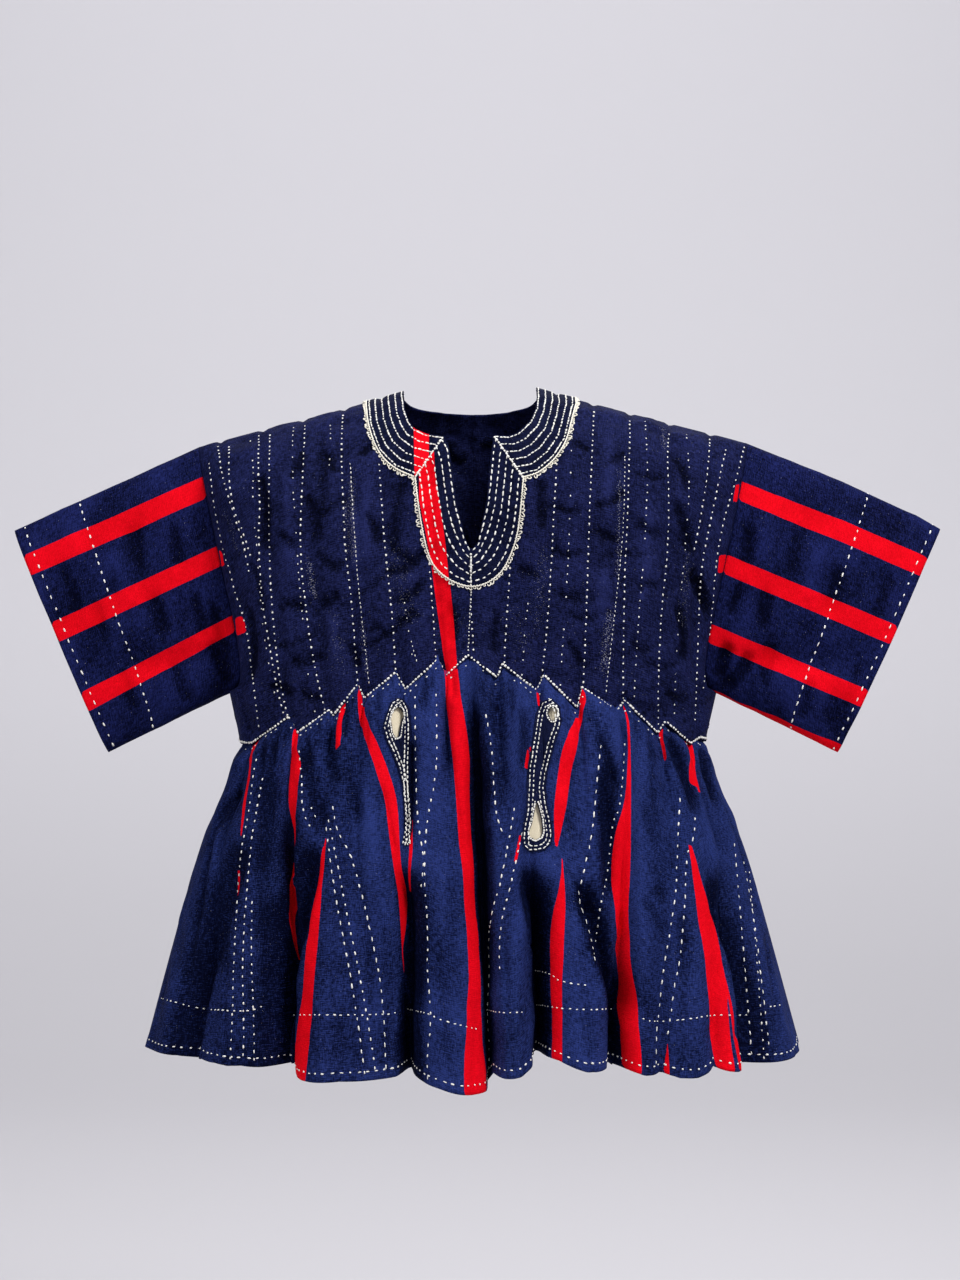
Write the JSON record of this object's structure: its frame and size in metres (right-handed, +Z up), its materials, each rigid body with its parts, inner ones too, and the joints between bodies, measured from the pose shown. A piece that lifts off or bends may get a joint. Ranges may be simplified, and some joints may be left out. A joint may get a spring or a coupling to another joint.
{
  "type": "fugu smock",
  "caption": "Short-sleeved handwoven smock with a toothed waist seam, a gathered flared skirt, a slit neck with a stitched band and slit pockets, held in its hollow worn form.",
  "frame": {"origin": "between the two points where the neckline crosses the shoulders, on the wearer's shoulder line", "axes": "+X from the wearer's right sleeve to the left sleeve, +Y from front to back, +Z up"},
  "size_m": [1.005, 0.3832, 0.7287],
  "materials": {
    "navy_cloth": "handwoven navy cotton strips with red warp stripes",
    "neck_band": "navy cotton with rows of white hand stitching",
    "pocket_facing": "navy cotton with rows of white hand stitching",
    "pocket_lining": "plain beige cotton",
    "thread": "off-white cotton thread"
  },
  "bodies": {
    "root": {"bodice_front": "navy_cloth", "bodice_back": "navy_cloth", "sleeve_left": "navy_cloth", "sleeve_right": "navy_cloth", "skirt_front": "navy_cloth", "skirt_back": "navy_cloth", "neck_band_front": "neck_band", "neck_band_back": "neck_band", "pocket_facing_left": "pocket_facing", "pocket_facing_right": "pocket_facing", "pocket_lining_left": "pocket_lining", "pocket_lining_right": "pocket_lining"}
  },
  "joints": []
}
